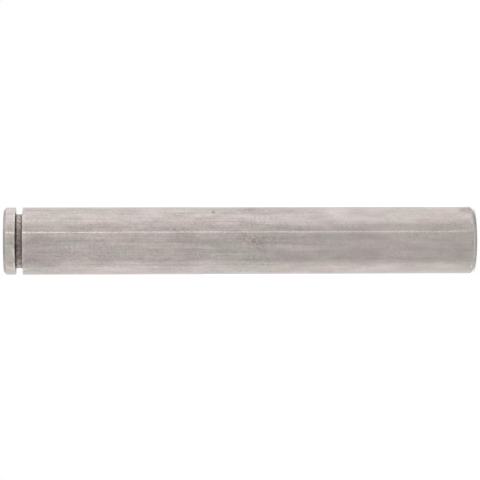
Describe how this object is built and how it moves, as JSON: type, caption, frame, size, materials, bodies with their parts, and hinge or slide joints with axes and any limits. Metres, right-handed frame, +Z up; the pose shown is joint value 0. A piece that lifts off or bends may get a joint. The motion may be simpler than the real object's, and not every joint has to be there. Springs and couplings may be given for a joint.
{
  "type": "grooved round pin",
  "caption": "Solid round steel pin, headless, with a square retaining-washer groove near one end and chamfered ends; joins a clevis, lever or link.",
  "frame": {"origin": "centre of the plain end's face, which the pin stands on", "axes": "+Z up the pin's axis, from the plain end to the grooved end; X and Y are across the round section, which has no marks to turn them by"},
  "size_m": [0.01, 0.01, 0.07],
  "materials": {
    "steel": "bright ground bar with fine scratches along its length, faint tarnish and a small dark smudge"
  },
  "bodies": {
    "root": {"pin": "steel"}
  },
  "joints": []
}
